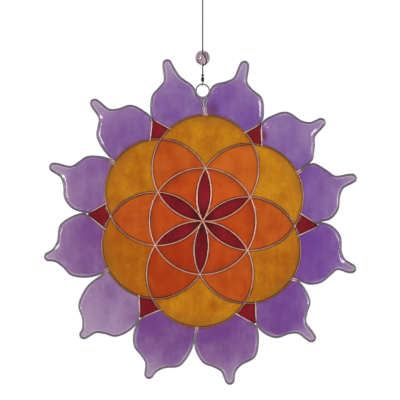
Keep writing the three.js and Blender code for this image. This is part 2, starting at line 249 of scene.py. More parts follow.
def wire_mesh():
    """An empty mesh for wire, whose points know how far forward they lie on the round of the wire."""
    bm = bmesh.new()
    bm.verts.layers.float.new("crown")
    return bm


def mark_crown(bm, verts, middle, radius):
    crown = bm.verts.layers.float.get("crown")
    if crown:
        for vert in verts:
            vert[crown] = (middle.y - vert.co.y) / radius


def sweep(bm, points, radius, sides, plies=0, twist=0.0):
    """Draws a round section along a run of points; plies groove it, and twist turns them at each step."""
    frames = frames_along(points)
    section = bmesh.ops.create_circle(bm, segments=sides, radius=radius)["verts"]
    if plies:
        for n, vert in enumerate(section):
            vert.co *= 1 - PLY_DEPTH + PLY_DEPTH * math.cos(plies * 2 * math.pi * n / sides)
    rounding = Matrix.Translation((0, 0, radius * END_LENGTH))
    stops = [(place, 1.0, twist * n) for n, place in enumerate(frames)]
    stops[0] = (frames[0] @ rounding, 1.0, 0.0)
    stops.append((frames[-1] @ rounding, END_SIZE, stops[-1][2]))
    last = frames[0] @ Matrix.Scale(END_SIZE, 4)
    bmesh.ops.transform(bm, matrix=last, verts=section)
    edges = edges_of(section)
    bmesh.ops.contextual_create(bm, geom=edges)
    for place, size, turn in stops:
        here = place @ Matrix.Rotation(turn, 4, "Z") @ Matrix.Scale(size, 4)
        grown = bmesh.ops.extrude_edge_only(bm, edges=edges)
        edges = new_parts(grown, bmesh.types.BMEdge)
        verts = new_parts(grown, bmesh.types.BMVert)
        bmesh.ops.transform(bm, matrix=here @ last.inverted(), verts=verts)
        mark_crown(bm, verts, here.translation, radius)
        last = here
    bmesh.ops.contextual_create(bm, geom=edges)


def full_turn(bm, geom, middle, axis, steps):
    bmesh.ops.spin(bm, geom=geom, cent=middle, axis=axis, angle=2 * math.pi, steps=steps, use_merge=True)


def wire_ring(bm, centre, radius, wire, depth, sides, steps):
    """A closed ring of wire in the panel, by turning a round section once about its middle."""
    middle = in_part(centre, depth)
    place = Matrix.Translation(middle + Vector((radius * MM, 0, 0)))
    section = bmesh.ops.create_circle(bm, segments=sides, radius=wire * MM, matrix=place)["verts"]
    mark_crown(bm, section, middle, wire * MM)
    edges = edges_of(section)
    full_turn(bm, section + edges, middle, (0, 1, 0), steps)


# Node helpers
def new_material(name):
    material = bpy.data.materials.new(name)
    material.use_nodes = True
    tree = material.node_tree
    return material, tree, tree.nodes["Principled BSDF"]


def set_inputs(tree, made, inputs):
    """Sets a node's inputs to values, or joins them to other nodes' outputs."""
    for key, value in inputs.items():
        if isinstance(value, bpy.types.NodeSocket):
            tree.links.new(value, made.inputs[key])
        else:
            made.inputs[key].default_value = value


def add_node(tree, kind, inputs=None, **settings):
    made = tree.nodes.new("ShaderNode" + kind)
    for key, value in settings.items():
        setattr(made, key, value)
    set_inputs(tree, made, inputs or {})
    return made


def colour(red, green, blue):
    """A colour as a screen shows it, 0 to 255, in the linear values that shaders take."""
    parts = [value / 255 for value in (red, green, blue)]
    return (*[v / 12.92 if v <= 0.04045 else ((v + 0.055) / 1.055) ** 2.4 for v in parts], 1.0)


def spread(tree, value, low, high, to_low=0.0, to_high=1.0):
    """A value brought from one range to another along a soft step, held at both ends."""
    ends = {"From Min": low, "From Max": high, "To Min": to_low, "To Max": to_high}
    made = add_node(tree, "MapRange", {"Value": value, **ends}, interpolation_type="SMOOTHSTEP")
    return made.outputs["Result"]


def spread_reach(tree, reach, low, high, to_low=0.0, to_high=1.0):
    """The same for a length in metres, between two limits in millimetres."""
    return spread(tree, reach, low * MM, high * MM, to_low, to_high)


def sum_of(tree, *values):
    total = values[0]
    for value in values[1:]:
        total = add_node(tree, "Math", {0: total, 1: value}, operation="ADD").outputs[0]
    return total


def product(tree, one, two):
    return add_node(tree, "Math", {0: one, 1: two}, operation="MULTIPLY").outputs[0]


MIX_COLOURS = (6, 7)  # a Mix node's sockets for two colours
MIXED_COLOUR = 2  # and for the colour that they give


def blend(tree, share, one, two):
    """One colour turning into another by a share."""
    first, second = MIX_COLOURS
    made = add_node(tree, "Mix", {"Factor": share, first: one, second: two}, data_type="RGBA")
    return made.outputs[MIXED_COLOUR]


def place_of(tree):
    return add_node(tree, "TexCoord").outputs["Object"]


NOISE_MIDDLE = 0.5
NOISE_ROUGHNESS = 0.55


def cloud(tree, place, size, detail=3.0, stretch=(1, 1, 1), shift=0.0, swing=1.0):
    """Soft noise about zero, with features of a size in millimetres, longer along an axis where stretched."""
    moved = {"Vector": place, "Location": (shift, shift, shift), "Scale": stretch}
    mapped = add_node(tree, "Mapping", moved).outputs[0]
    grain = {"Scale": 1 / (size * MM), "Detail": detail, "Roughness": NOISE_ROUGHNESS}
    made = add_node(tree, "TexNoise", {"Vector": mapped, **grain})
    return product(tree, sum_of(tree, made.outputs["Fac"], -NOISE_MIDDLE), swing)


def layers(tree, place, clouds):
    return [cloud(tree, place, **layer) for layer in clouds]


def bump(tree, height, strength, rise):
    """A surface stirred by a height, as a normal; rise is in millimetres."""
    made = add_node(tree, "Bump", {"Strength": strength, "Distance": rise * MM, "Height": height})
    return made.outputs[0]


def distance_from(tree, place, point):
    """Distance in metres from a point of the part's frame, given across and up in millimetres."""
    middle = (point[0] * MM, 0, point[1] * MM)
    made = add_node(tree, "VectorMath", {0: place, 1: middle}, operation="DISTANCE")
    return made.outputs["Value"]


def attribute(tree, name):
    return add_node(tree, "Attribute", attribute_name=name).outputs["Fac"]


# Cast glass: a tint that colours what shines through, a rippled surface and a few tiny dark specks
ROSETTE_MIDDLE = (0, -ROSETTE_DROP)
SPECK_APART = 17
SPECK_EDGES = (0.018, 0.034)  # of a speck, where it is full and where it has gone, in spacings
SPECK_DARK = 0.7
RIPPLE_DETAIL = 1.0
RIPPLE_STRENGTH = 0.14
RIPPLE_RISE = 0.6
GLASS_FINISH = {"Roughness": 0.18, "Transmission Weight": 1.0, "IOR": 1.45, "Specular IOR Level": 0.3}


def speck_share(tree, place):
    cells = add_node(tree, "TexVoronoi", {"Vector": place, "Scale": 1 / (SPECK_APART * MM)})
    return spread(tree, cells.outputs["Distance"], *SPECK_EDGES, SPECK_DARK, 0.0)


def cast_glass(tree, shader, place, tint, ripple_size):
    ripple = bump(tree, cloud(tree, place, ripple_size, RIPPLE_DETAIL), RIPPLE_STRENGTH, RIPPLE_RISE)
    set_inputs(tree, shader, {"Base Color": tint, "Normal": ripple, **GLASS_FINISH})


# Tinted glass of the rosette: deeper and paler in clouds and brush strokes, duller outward, dark by the wire
# with painted shade and with a line partly of pooled pigment and partly of painted shadow
ROSETTE_CLOUDS = (
    {"size": 13, "detail": 4.0, "shift": 0.3, "swing": 0.9},
    {"size": 5, "stretch": (1, 1, 0.25), "shift": 1.1, "swing": 0.38},
    {"size": 2, "shift": 2.4, "swing": 0.4},
)
ROSETTE_RIPPLE = 5
OUTWARD_CLOUD = {"size": 9, "shift": 4.2, "swing": 0.6}
OUTWARD_EDGES = (0.2, 1.3)  # where the outer colour begins and where it has all its share
MIDDLE_SHADE = (3, 13, 0.8, 0.0)  # from and to so far from the rosette's middle, at these strengths
# The next two darken the glass by the wire: a faint band of painted shade, then a dark line that is partly
# pigment pooled where the glass climbs the wire and partly painted shadow of the wire
WIRE_SHADE = (0.8, 2.6, 0.22, 0.0)  # likewise from the wire
WIRE_POOL_AND_SHADOW_LINE = (0.45, 0.85, 1.0, 0.0)  # and close to it


def rosette_glass(name, deep, pale, edge, outer, outer_reach, outer_share):
    material, tree, shader = new_material(name)
    deep, pale, edge, outer = (colour(*screen) for screen in (deep, pale, edge, outer))
    place = place_of(tree)
    share = sum_of(tree, attribute(tree, "tone"), *layers(tree, place, ROSETTE_CLOUDS))
    body = blend(tree, spread(tree, share, 0.0, 1.0), deep, pale)
    reach = distance_from(tree, place, ROSETTE_MIDDLE)
    outward = sum_of(tree, spread_reach(tree, reach, *outer_reach), cloud(tree, place, **OUTWARD_CLOUD))
    body = blend(tree, spread(tree, outward, *OUTWARD_EDGES, 0.0, outer_share), body, outer)
    body = blend(tree, spread_reach(tree, reach, *MIDDLE_SHADE), body, edge)
    rim = attribute(tree, "rim")
    # painted shade by the wire, then a line of pooled pigment and painted shadow
    tint = blend(tree, spread(tree, rim, *WIRE_SHADE), body, edge)
    tint = blend(tree, spread(tree, rim, *WIRE_POOL_AND_SHADOW_LINE), tint, edge)
    tint = blend(tree, speck_share(tree, place), tint, edge)
    cast_glass(tree, shader, place, tint, ROSETTE_RIPPLE)
    return material


# Purple petals: greyer lilac towards the nib and along their free edges, with bled-in spots
PURPLES = (colour(116, 64, 134), colour(112, 62, 150))  # deep glass at the lower left and the upper right
LILACS = (colour(168, 138, 172), colour(162, 132, 174))  # pale glass there
BLUER = (-290, -90)  # across plus up, from where to where the glass turns bluer
PALE_WEIGHT = 0.6  # of each pane's own paleness
PALER_OUTWARD = (78, 118, 0.0, 0.45)  # from and to these reaches, by these shares
PALE_EDGES = (-0.05, 1.05)
PETAL_CLOUDS = (
    {"size": 15, "detail": 4.0, "shift": 0.7, "swing": 0.8},
    {"size": 5, "stretch": (1, 1, 0.3), "shift": 3.3, "swing": 0.35},
    {"size": 2.2, "shift": 1.9, "swing": 0.35},
)
PETAL_RIPPLE = 6
NIB_GREY = colour(172, 154, 176)
NIB_GREYS = (96, 114, 0.0, 0.6)  # likewise
BLED_SPOTS = (
    # across and up in millimetres, half its width and height, colour bled into the purple there
    ((7.3, -109.4), (5.8, 6.4), colour(108, 62, 92)),
    ((-65.5, -144.3), (3.6, 3.6), colour(122, 84, 96)),
    ((65.4, -153.3), (3.4, 4.2), colour(140, 66, 110)),
    ((42.6, -127.4), (3.6, 7.0), colour(118, 44, 72)),
)
BLED_FADES = (0.1, 1.0, 0.8, 0.0)  # from and to so many half sizes of a spot, at these strengths
BLED_RAGGED = {"size": 4, "shift": 5.1, "swing": 0.8}
EDGE_LILAC = colour(190, 172, 194)
EDGE_PALES = (0.4, 2.4, 0.6, 0.0)  # from and to so far from the wire, at these strengths
EDGE_FREE = (80, 94)  # and only so far out
PETAL_SPECK = colour(84, 52, 96)


def spot_share(tree, place, spot, size):
    """How near a place is to a spot's middle: 0 there and 1 at its edge."""
    middle = (spot[0] * MM, 0, spot[1] * MM)
    half_sizes = (size[0] * MM, 1, size[1] * MM)
    moved = {"Vector": place, "Location": middle, "Scale": half_sizes}
    mapped = add_node(tree, "Mapping", moved, vector_type="TEXTURE").outputs[0]
    return add_node(tree, "VectorMath", {0: mapped}, operation="LENGTH").outputs["Value"]


def petal_glass():
    material, tree, shader = new_material("purple_glass")
    place = place_of(tree)
    reach = distance_from(tree, place, ROSETTE_MIDDLE)
    axes = add_node(tree, "SeparateXYZ", {"Vector": place})
    slope = sum_of(tree, axes.outputs["X"], axes.outputs["Z"])
    blueness = spread_reach(tree, slope, *BLUER)
    deep = blend(tree, blueness, *PURPLES)
    pale = blend(tree, blueness, *LILACS)
    share = sum_of(
        tree,
        product(tree, attribute(tree, "tone"), PALE_WEIGHT),
        spread_reach(tree, reach, *PALER_OUTWARD),
        *layers(tree, place, PETAL_CLOUDS),
    )
    body = blend(tree, spread(tree, share, *PALE_EDGES), deep, pale)
    body = blend(tree, spread_reach(tree, reach, *NIB_GREYS), body, NIB_GREY)
    ragged = cloud(tree, place, **BLED_RAGGED)
    for spot, size, bled in BLED_SPOTS:
        near_spot = sum_of(tree, spot_share(tree, place, spot, size), ragged)
        body = blend(tree, spread(tree, near_spot, *BLED_FADES), body, bled)
    near = spread(tree, attribute(tree, "rim"), *EDGE_PALES)
    free = spread_reach(tree, reach, *EDGE_FREE)
    tint = blend(tree, product(tree, near, free), body, EDGE_LILAC)
    tint = blend(tree, speck_share(tree, place), tint, PETAL_SPECK)
    cast_glass(tree, shader, place, tint, PETAL_RIPPLE)
    return material


# Tinned wire: a painted highlight along the front of its round between flanks of painted shade, darker and
# greyer away from the rosette's middle
METAL_SHARE = 0.3  # the tin is dull
DULL_RANGE = (-0.2, 0.2)  # of a cloud, from bright to dull metal
WIRE_PATCHES = {"size": 7, "detail": 4.0, "shift": 0.9}
PATCH_WEIGHT = 0.9
WIRE_ROUGHNESS = (0.32, 0.5)
# ragged edge of the painted highlight on the wire's front
HIGHLIGHT_RAGGED = {"size": 3, "shift": 6.3, "swing": 0.3}
CROWN_EDGES = (0.72, 0.97)  # of the wire's round, where the flank ends and the crown is whole
WIRE_GRAIN = {"size": 0.7, "shift": 1.7}
GRAIN_STRENGTH = 0.25
GRAIN_RISE = 0.1


def wire_metal(name, highlight_crowns, shaded_flanks, reaches):
    """Colours are for the wire near the middle of the rosette and far from it, between two reaches; the
    crowns are painted highlight and the flanks painted shade.
    """
    material, tree, shader = new_material(name)
    place = place_of(tree)
    patch = cloud(tree, place, **WIRE_PATCHES)
    reach = spread_reach(tree, distance_from(tree, place, ROSETTE_MIDDLE), *reaches)
    share = spread(tree, sum_of(tree, reach, product(tree, patch, PATCH_WEIGHT)), 0.0, 1.0)
    round_share = attribute(tree, "crown")
    crown = add_node(tree, "Math", {0: round_share}, operation="ABSOLUTE").outputs[0]
    # the crown colour is a painted highlight on the front of the wire's round, the flank colour painted shade
    # at its sides
    highlight_share = spread(tree, sum_of(tree, crown, cloud(tree, place, **HIGHLIGHT_RAGGED)), *CROWN_EDGES)
    metal = blend(tree, highlight_share, blend(tree, share, *shaded_flanks), blend(tree, share, *highlight_crowns))
    dull = spread(tree, patch, *DULL_RANGE, *WIRE_ROUGHNESS)
    grain = bump(tree, cloud(tree, place, **WIRE_GRAIN), GRAIN_STRENGTH, GRAIN_RISE)
    finish = {"Base Color": metal, "Roughness": dull, "Normal": grain, "Metallic": METAL_SHARE}
    set_inputs(tree, shader, finish)
    return material


SOLDER_COLOURS = (colour(186, 152, 144), colour(140, 106, 100))
SOLDER_PATCHES = {"size": 2.5, "detail": 4.0, "shift": 0.6}
SOLDER_ROUGHNESS = (0.3, 0.5)


def solder_metal():
    material, tree, shader = new_material("solder")
    patch = cloud(tree, place_of(tree), **SOLDER_PATCHES)
    metal = blend(tree, spread(tree, patch, *DULL_RANGE), *SOLDER_COLOURS)
    dull = spread(tree, patch, *DULL_RANGE, *SOLDER_ROUGHNESS)
    set_inputs(tree, shader, {"Base Color": metal, "Roughness": dull, "Metallic": METAL_SHARE})
    return material


CORD_COLOURS = (colour(14, 9, 12), colour(44, 30, 34))
CORD_FUZZ = 0.35  # size of the cord's fibres
CORD_FADING = {"size": 6, "shift": 0.4}
FADING_RANGE = (-0.3, 0.3)
FUZZ_STRENGTH = 0.5
FUZZ_RISE = 0.1
CORD_FINISH = {"Roughness": 0.75, "Specular IOR Level": 0.25}


def cord_thread():
    material, tree, shader = new_material("waxed_cord")
    place = place_of(tree)
    fuzz = cloud(tree, place, CORD_FUZZ)
    share = sum_of(tree, fuzz, cloud(tree, place, **CORD_FADING))
    dyed = blend(tree, spread(tree, share, *FADING_RANGE), *CORD_COLOURS)
    weave = bump(tree, fuzz, FUZZ_STRENGTH, FUZZ_RISE)
    set_inputs(tree, shader, {"Base Color": dyed, "Normal": weave, **CORD_FINISH})
    return material


BEAD_COLOURS = (colour(106, 76, 92), colour(196, 168, 182))
BEAD_SWIRL = {"size": 3.5, "detail": 4.0, "stretch": (1, 1, 0.35), "shift": 0.2}
SWIRL_RANGE = (-0.2, 0.2)
BEAD_FINISH = {"Roughness": 0.08, "Transmission Weight": 0.35, "IOR": 1.5}


def bead_glass():
    material, tree, shader = new_material("lilac_bead_glass")
    swirl = cloud(tree, place_of(tree), **BEAD_SWIRL)
    tint = blend(tree, spread(tree, swirl, *SWIRL_RANGE), *BEAD_COLOURS)
    set_inputs(tree, shader, {"Base Color": tint, **BEAD_FINISH})
    return material


# Crown colours are painted highlight and flank colours painted shade; both turn darker and greyer away from
# the rosette's middle
ring_wire = wire_metal(
    "tinned_ring_wire",
    highlight_crowns=(colour(192, 134, 112), colour(128, 82, 62)),
    shaded_flanks=(colour(96, 44, 26), colour(76, 38, 26)),
    reaches=(20, 80),
)
petal_wire = wire_metal(
    "petal_wire",
    highlight_crowns=(colour(178, 146, 140), colour(98, 88, 100)),
    shaded_flanks=(colour(92, 56, 56), colour(56, 48, 58)),
    reaches=(74, 80),
)
eye_wire = wire_metal(
    "eye_wire",
    highlight_crowns=(colour(160, 140, 142), colour(118, 110, 116)),
    shaded_flanks=(colour(92, 76, 86), colour(72, 64, 72)),
    reaches=(74, 86),
)
solder = solder_metal()
thread = cord_thread()
lilac_glass = bead_glass()
purple_glass = petal_glass()
ROSETTE_GLASSES = {
    # deep, pale, edge and outer colour, reaches between which the outer colour comes in, and its share; the
    # edge colour also gives the painted shade by the wires
    "seed_glass": ((92, 10, 16), (146, 24, 36), (60, 10, 14), (110, 18, 26), (10, 36), 0.5),
    "inner_orange_glass": ((172, 46, 8), (206, 90, 22), (92, 34, 14), (118, 48, 26), (27, 37), 0.5),
    "outer_orange_glass": ((172, 52, 8), (206, 104, 28), (92, 38, 12), (150, 70, 30), (52, 66), 0.7),
    "yellow_glass": ((172, 86, 6), (214, 150, 20), (96, 52, 12), (146, 94, 30), (58, 74), 0.6),
    "kite_glass": ((104, 12, 22), (146, 24, 36), (76, 12, 20), (112, 18, 34), (68, 80), 0.6),
}
glass = {name: rosette_glass(name, *finish) for name, finish in ROSETTE_GLASSES.items()}

# Cord: up from the eye, through the bead, into the knot, round the loop and back to the knot
HALF_LOOP = (
    # out, as a share of the loop's half width, and height
    (0.07, -LOOP_KNOT_DROP),
    (0.7, -0.55 * LOOP_KNOT_DROP),
    (1, -LOOP_HALF),
    (0.7, CORD - 0.3 * LOOP_HALF),
)
LOOP_STEPS = 22
CORD_SIDES = 12
CORD_PLIES = 3
CORD_TWIST = math.radians(24)
CORD_STEP = 0.3
TIE_RISE = 3.3  # of the lower tie knot above the eye's top


def upright(low, high):
    count = round((high - low) / CORD_STEP)
    return [Vector((0, 0, low + (high - low) * n / count)) for n in range(count + 1)]


def loop_side(side):
    return [Vector((side * out * LOOP_HALF, 0, height)) for out, height in HALF_LOOP]


def cord_piece(name, runs, *nodes):
    """A piece of cord drawn along runs of points, each with its radius."""
    bm = bmesh.new()
    for run, radius in runs:
        sweep(bm, [point * MM for point in run], radius * MM, CORD_SIDES, CORD_PLIES, CORD_TWIST)
    return finish_mesh(name, bm, thread, "cord", *nodes)


cord_run = upright(EYE_TOP + TIE_RISE, -LOOP_KNOT_DROP - CORD)
cord_run += bent([*loop_side(-1), Vector((0, 0, CORD)), *loop_side(1)[::-1]], LOOP_STEPS)
cord = cord_piece("twisted_cord", [(cord_run, CORD)], "hanging_cord")

# Knots: the cord wound round itself, with one turn across on a slant
LOWER_TIE = {"radius": 0.72, "height": 2.9, "turns": 3.6}
UPPER_TIE = {"radius": 0.5, "height": 1.1, "turns": 1.8}
UPPER_TIE_RISE = 6.1
LOOP_TIE = {"radius": 1.0, "height": 2.6, "turns": 2.6}
TURN_STEPS = 24  # in each turn of a knot
KNOT_ENDS = 0.6  # radius of a knot at both ends, as a share of its middle's
CROSS_TURN = 0.92  # share of a turn that the slanted run goes round


def around(out, angle, height):
    return Vector((out * math.cos(angle), out * math.sin(angle), height))


def wound(rise, radius, height, turns):
    """A run that winds round the cord, fuller at the middle."""
    steps = round(TURN_STEPS * turns)
    run = []
    for n in range(steps + 1):
        share = n / steps
        angle = 2 * math.pi * turns * share
        out = radius * (KNOT_ENDS + (1 - KNOT_ENDS) * math.sin(math.pi * share))
        run.append(around(out, angle, rise + height * (share - 0.5)))
    return run


def crossed(rise, radius, height):
    """A run that goes once round a knot on a slant."""
    angles = [2 * math.pi * CROSS_TURN * n / TURN_STEPS for n in range(TURN_STEPS + 1)]
    return [around(radius, angle, rise + height / 2 * math.sin(angle)) for angle in angles]


def knot_runs(rise, radius, height, turns):
    return [(wound(rise, radius, height, turns), CORD), (crossed(rise, radius, height), CORD)]


# Bight: the cord drawn tight round the eye's wire, with both ends in the lower tie knot
BIGHT_CORD = 0.3  # radius of the cord there
BIGHT = EYE_WIRE + BIGHT_CORD  # from the middle of the eye's wire to this cord
BIGHT_STEPS = 30
BIGHT_START = 75  # degrees above level, at the front
BIGHT_TURN = 330
BIGHT_END = (0.2, EYE_TOP + TIE_RISE - 0.6)  # off the cord's middle, and height
bight_run = [Vector((0, -BIGHT_END[0], BIGHT_END[1]))]
for n in range(BIGHT_STEPS + 1):
    angle = math.radians(BIGHT_START - BIGHT_TURN * n / BIGHT_STEPS)
    bight_run.append(Vector((0, -BIGHT * math.cos(angle), EYE_TOP + BIGHT * math.sin(angle))))
bight_run.append(Vector((0, *BIGHT_END)))
tie_knots = cord_piece(
    "tie_knots",
    [
        *knot_runs(EYE_TOP + TIE_RISE, **LOWER_TIE),
        *knot_runs(EYE_TOP + UPPER_TIE_RISE, **UPPER_TIE),
        (bight_run, BIGHT_CORD),
    ],
)
loop_knot = cord_piece("loop_knot", knot_runs(-LOOP_KNOT_DROP, **LOOP_TIE))

# Strand over the front of the bead, from mouth to mouth of its hole
STRAND = 0.38  # radius of the strand
STRAND_STEPS = 40
STRAND_END = 88  # degrees above and below the middle of the bead
strand_run = []
for n in range(STRAND_STEPS + 1):
    height = math.radians(STRAND_END - 2 * STRAND_END * n / STRAND_STEPS)
    out = (BEAD_RADIUS + STRAND) * math.cos(height)
    rise = (BEAD_RADIUS + STRAND) * math.sin(height) - BEAD_DROP
    turn = math.radians(STRAND_TURN - STRAND_SWING * math.sin(height))
    strand_run.append(Vector((out * math.sin(turn), -out * math.cos(turn), rise)))
bead_strand = cord_piece("bead_strand", [(strand_run, STRAND)])

# Bead: a ball of glass turned about its hole, with softened mouths
BEAD_STEPS = 20  # from the middle of the bead's side to a mouth
HOLE_STEPS = 4  # from a mouth to the middle of the hole
BEAD_SECTORS = 48
MOUTH_DEPTH = 0.35
MOUTH_SHARE = 0.985  # of the way to the hole's edge, where the mouth begins
hole_edge = math.acos(BEAD_HOLE / BEAD_RADIUS)
mouth = BEAD_RADIUS * math.sin(hole_edge) - MOUTH_DEPTH
side_angles = [hole_edge * MOUTH_SHARE * (n / BEAD_STEPS - 1) for n in range(2 * BEAD_STEPS + 1)]
bead_half = [(BEAD_RADIUS * math.cos(angle), BEAD_RADIUS * math.sin(angle)) for angle in side_angles]
bead_half += [(BEAD_HOLE, mouth * (1 - n / HOLE_STEPS)) for n in range(2 * HOLE_STEPS + 1)]
bm = bmesh.new()
verts, edges = closed_line(bm, [Vector((out, 0, height - BEAD_DROP)) * MM for out, height in bead_half])
full_turn(bm, verts + edges, (0, 0, 0), (0, 0, 1), BEAD_SECTORS)
bead = finish_mesh("glass_bead", bm, lilac_glass, "bead_glass", "bead")

# Rosette frame: seven rings, stacked a little where they cross
RING_STEPS = 160
WIRE_SIDES = 14
bm = wire_mesh()
wire_ring(bm, Vector((0, 0)), RING, WIRE, MIDDLE_LEVEL, WIRE_SIDES, RING_STEPS)
for k in range(LOBES):
    wire_ring(bm, lobe_centre(k), RING, WIRE, LOBE_LEVELS[k], WIRE_SIDES, RING_STEPS)
finish_mesh("rosette_rings", bm, ring_wire, "wire", "rosette_frame")

# Petal wires; petal i lies between partings i and i + 1, and parting 0 is at the hanging eye
eye_middle = Vector((0, EYE_RISE))
stem_top = Vector((0, EYE_RISE - EYE_RADIUS))
stem_foot = polar(STEM_FOOT, 2 * RING + FOOT_PAST)
PETAL_RUN_STEPS = 14  # between two of the points that a petal wire goes through


def is_top(j):
    return j % len(PETALS) == 0


def parting_angle(j):
    return TOP_LOBE + PETAL_STEP * j + PARTINGS[j - 1][0]


def kite_angle(j):
    return TOP_LOBE + PETAL_STEP * j + PARTINGS[j - 1][0] / 2


def lower_side(lobe, j, side):
    """Foot and lower side of a petal wire, out to where petals part; side is +1 left of that, -1 right."""
    if is_top(j):
        clear = polar(STEM_FOOT + 90, side * STEM_CLEAR)
        by_stem = [stem_top.lerp(stem_foot, share) + clear for share in (1, STEM_WAIST)]
        by_eye = [eye_middle + polar(90 + side * (90 - rise), EYE_CLEAR) for rise in EYE_TOUCH]
        return by_stem + by_eye
    reach = PARTINGS[j - 1][1]
    start = beside(parting_angle(j), reach, side * SIDE_BY_SIDE)
    if j % 2:
        right, left = KITE_FEET[(j - 1) // 2]
        turn = LOBE_STEP - (right if side < 0 else left)
        foot = lobe_centre(lobe) + polar(lobe_angle(lobe) - side * turn, RING + FOOT_PAST)
        if reach - KITE_TIP > MIN_TOGETHER:
            return [foot, beside(kite_angle(j), KITE_TIP, side * KITE_TIP_HALF), start]
        return [foot, start]
    return [beside(lobe_angle(lobe), 2 * RING + FOOT_PAST, side * SIDE_BY_SIDE), start]


def upper_side(petal, tip_angle, j, side, start):
    """Side, cheek, shoulder, neck and nib on one side of a petal, from the parting to the tip."""
    own = 0 if side > 0 else 1
    shoulder = petal.shoulders[own]
    out = start.dot(polar(tip_angle, 1))
    across = abs(start.dot(polar(tip_angle + 90, 1)))
    cheek = shoulder - CHEEK_FALL
    places = [((out + cheek) / 2, petal.sides[own] * across), (cheek, CHEEK_SHARE * across)]
    if is_top(j):
        places = [(cheek, TOP_CHEEK_SHARE * across)]
    places += [
        (shoulder, SHOULDER_HALF),
        (shoulder + NECK_RISE, petal.necks[own]),
        (petal.tip - NIB_LENGTH, NIB_HALF),
        (petal.tip - ROUND_LENGTH, ROUND_HALF),
    ]
    return [beside(tip_angle, reach, -side * half) for reach, half in places]


def petal_lobe(i):
    return (i + 1) // 2


def middle_angle(i):
    return TOP_LOBE + PETAL_STEP * (i + 0.5)


def tip_angle_of(i):
    return middle_angle(i) + PETALS[i].lean


def petal_run(i):
    """The wire of a petal from foot to foot, in the panel."""
    petal = PETALS[i]
    angle = tip_angle_of(i)
    halves = []
    for j, side in ((i, 1), (i + 1, -1)):
        lower = lower_side(petal_lobe(i), j, side)
        halves.append(lower + upper_side(petal, angle, j, side, lower[-1]))
    return bent([*halves[0], polar(angle, petal.tip), *halves[1][::-1]], PETAL_RUN_STEPS)


def soft_step(value):
    share = min(max(value, 0.0), 1.0)
    return share * share * (3 - 2 * share)


def lifted(run):
    """The run in the part's frame, its two ends raised to lie on the ring."""
    along = [0.0]
    for one, two in zip(run, run[1:]):
        along.append(along[-1] + (two - one).length)
    points = []
    for point, way in zip(run, along):
        from_end = min(way, along[-1] - way)
        points.append(in_part(point, -FOOT_LIFT * soft_step(1 - from_end / FOOT_RUN)))
    return points


petal_runs = [petal_run(i) for i in range(len(PETALS))]
for i, run in enumerate(petal_runs):
    bm = wire_mesh()
    sweep(bm, lifted(run), WIRE * MM, WIRE_SIDES)
    finish_mesh(f"bent_petal_wire_{i + 1}", bm, petal_wire, "wire", f"petal_wire_{i + 1}")

# Hanging eye, on two legs that come together in one stem down to the top lobe
EYE_SIDES = 12
EYE_STEPS = 64
EYE_LEVEL = -0.1  # how far behind the panel's plane the eye lies
LEG_STEPS = 10
LEG_TUCK = 0.3  # how far the legs reach up into the eye's wire
STEM_LIFT = 0.8  # of the stem's foot, onto the ring
bm = wire_mesh()
wire_ring(bm, eye_middle, EYE_RADIUS, EYE_WIRE, EYE_LEVEL, EYE_SIDES, EYE_STEPS)
for side in (-1, 1):
    top = stem_top + Vector((side * LEG_HALF, LEG_TUCK))
    meet = stem_top.lerp(stem_foot, LEGS_MEET) + Vector((side * LEGS_TOUCH, 0))
    leg = bent([top, meet, stem_foot], LEG_STEPS)
    rise = STEM_LIFT / (len(leg) - 1)
    leg_points = [in_part(point, EYE_LEVEL - rise * n) for n, point in enumerate(leg)]
    sweep(bm, leg_points, EYE_WIRE * MM, EYE_SIDES)
finish_mesh("wire_eye", bm, eye_wire, "wire", "hanging_eye")

# Panes: drawn in from their outline to a spine, in narrow steps by the wire and wide ones inside
RIM_INSET = 0.3  # from a wire's centre line to the hidden edge of a pane
BACK_SHARE = 0.6  # of the front's height on the flatter back
WAVE = 0.05  # height of the slow waves in the front
WAVES_PER_MM = 0.16
WAVE_SLICE = 3.7  # which slice of the noise they are taken from
WAVE_FADE = 2  # they fade out this close to the wire
STEPS_IN = (0.3, 0.6, 0.9, 1.2, 1.6, 2, 2.5, 3, 3.7, 4.5, 6)
INNER_SHARES = (0.55, 0.75, 0.9)  # of the way to the spine
MOST_DRAWN = 0.8  # share of that way that the narrow steps may take
ARRIVED = 1e-6  # a way left that is too short to go
MIRROR_WITHIN = 1e-6  # metres
LOW = 0.35  # height of a pane inside the rosette
CLIMB = 0.13  # how much higher it stands against its wires
CLIMB_RUN = 1.6
RISE = 0.07  # slope of a petal's pane from the rosette outward
FREE_EDGE = 0.2  # its height by a wire that has nothing beyond
FREE_RUN = 3.5  # and the run of its round there
HELD_RUN = 8  # and its run by a wire shared with a neighbour
FREE_WITHIN = 5  # length over which its edge becomes free
FREE_BEFORE = 1  # starting this far before the parting
NIB_HIGH = 0.55  # its most height in the nib
NIB_STARTS = 96  # reach from which it sinks to that
NIB_SINKS = 8  # and over which length


def nearest_on(spine, point):
    """The point of a spine, a short run of points, that lies nearest to another point."""
    feet = []
    for start, end in zip(spine, spine[1:]):
        along = end - start
        share = (point - start).dot(along) / along.length_squared
        feet.append(start.lerp(end, min(max(share, 0.0), 1.0)))
    return min(feet, key=lambda foot: (foot - point).length)


def level_height(place, distance, free):
    """A flat pane that climbs a little up its wires, the same at every place and edge."""
    return LOW + CLIMB * (1 - soft_step(distance / CLIMB_RUN))


